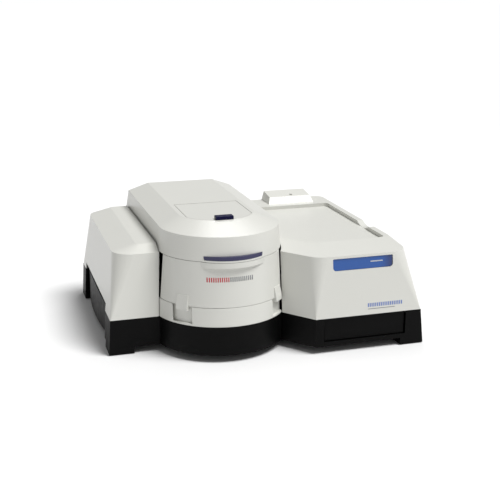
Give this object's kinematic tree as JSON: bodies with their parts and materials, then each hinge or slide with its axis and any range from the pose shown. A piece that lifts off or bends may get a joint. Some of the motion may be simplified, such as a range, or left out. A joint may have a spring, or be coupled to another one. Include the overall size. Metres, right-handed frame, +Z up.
{
  "type": "spectrophotometer",
  "caption": "Benchtop double-beam spectrophotometer with a round-fronted centre compartment under a hinged lid, a lower wing on each side and a black base.",
  "frame": {"origin": "under the middle of the instrument, on the bench", "axes": "+X to the right seen from the front, +Y to the rear, +Z up"},
  "size_m": [0.6217, 0.524, 0.271],
  "materials": {
    "white_casing": "fine satin texture, warm white ABS",
    "black_base": "spark-textured black ABS",
    "navy_grip": "smooth dark blue ABS",
    "blue_window": "tinted acrylic",
    "black_fittings": "moulded black plastic",
    "grey_panel": "powder-coated sheet steel",
    "aluminium_plate": "milled aluminium",
    "black_anodised": "black anodised aluminium",
    "steel_parts": "zinc-plated steel",
    "mirror_coating": "coated optical surface",
    "optical_glass": "polished fused silica",
    "circuit_board": "green solder mask",
    "ceramic_socket": "fired ceramic",
    "rubber_pad": "soft rubber"
  },
  "bodies": {
    "chassis": {"base_moulding": "black_base", "rubber_feet": "rubber_pad", "left_cover": "white_casing", "right_cover": "white_casing", "screw_cap": "white_casing", "status_window": "blue_window", "status_board": "circuit_board", "lower_ring": "white_casing", "hinge_brackets": "black_fittings", "hinge_pins": "steel_parts", "rear_deck": "black_fittings", "compartment_liner": "black_fittings", "beam_windows": "optical_glass", "sample_holder": "black_anodised", "reference_holder": "black_anodised", "optics_plate": "aluminium_plate", "detector_plate": "aluminium_plate", "support_posts": "steel_parts", "monochromator_housing": "black_anodised", "monochromator_cover": "black_anodised", "slit_plates": "black_anodised", "monochromator_mirrors": "mirror_coating", "mirror_mounts": "black_anodised", "beam_splitter": "optical_glass", "fold_mirror": "mirror_coating", "optic_stands": "black_anodised", "lens_cells": "black_anodised", "lenses": "optical_glass", "grating_motor": "black_fittings", "filter_motor": "steel_parts", "lamp_housing": "aluminium_plate", "xenon_lamp": "optical_glass", "lamp_socket": "ceramic_socket", "detectors": "black_anodised", "detector_board": "circuit_board", "main_board": "circuit_board", "board_standoffs": "steel_parts", "power_supply": "steel_parts", "drawer_runners": "black_fittings", "rear_panel": "grey_panel", "panel_screws": "steel_parts", "mains_inlet": "black_fittings", "inlet_blades": "steel_parts", "data_socket": "steel_parts", "switch_frame": "black_fittings", "fan_frame": "black_fittings", "fan_guard": "steel_parts"},
    "lid": {"lid": "white_casing", "grip_strip": "navy_grip", "hatch_pin": "steel_parts"},
    "hatch": {"hatch": "white_casing", "hatch_pull": "navy_grip"},
    "front_panel": {"front_panel": "white_casing"},
    "drawer": {"drawer": "black_base"},
    "grating": {"grating_turret": "aluminium_plate", "diffraction_grating": "mirror_coating"},
    "filter_wheel": {"filter_wheel": "aluminium_plate", "order_filters": "optical_glass"},
    "fan": {"fan_rotor": "black_fittings"},
    "rocker": {"power_rocker": "black_fittings"}
  },
  "joints": [
    {"name": "lid_hinge", "type": "hinge", "parent": "chassis", "child": "lid", "pos_m": [-0.079, 0.246, 0.195], "axis": [-1, 0, 0], "range_deg": [0, 70]},
    {"name": "hatch_hinge", "type": "hinge", "parent": "lid", "child": "hatch", "pos_m": [-0.079, -0.0176, 0.2609], "axis": [-1, 0, 0], "range_deg": [0, 85]},
    {"name": "front_panel_pull", "type": "slide", "parent": "chassis", "child": "front_panel", "axis": [0, -1, 0], "range_m": [0, 0.06]},
    {"name": "drawer_slide", "type": "slide", "parent": "chassis", "child": "drawer", "axis": [0, -1, 0], "range_m": [0, 0.12]},
    {"name": "grating_turn", "type": "hinge", "parent": "chassis", "child": "grating", "pos_m": [0.214, 0.036, 0.1], "axis": [0, 0, 1], "range_deg": [-30, 30]},
    {"name": "filter_wheel_turn", "type": "hinge", "parent": "chassis", "child": "filter_wheel", "pos_m": [0.16, 0.122, 0.13], "axis": [0, 1, 0], "continuous": true},
    {"name": "fan_spin", "type": "hinge", "parent": "chassis", "child": "fan", "pos_m": [-0.012, 0.24, 0.13], "axis": [0, 1, 0], "continuous": true},
    {"name": "rocker_tilt", "type": "hinge", "parent": "chassis", "child": "rocker", "pos_m": [-0.122, 0.251, 0.104], "axis": [1, 0, 0], "range_deg": [-12, 0]}
  ]
}
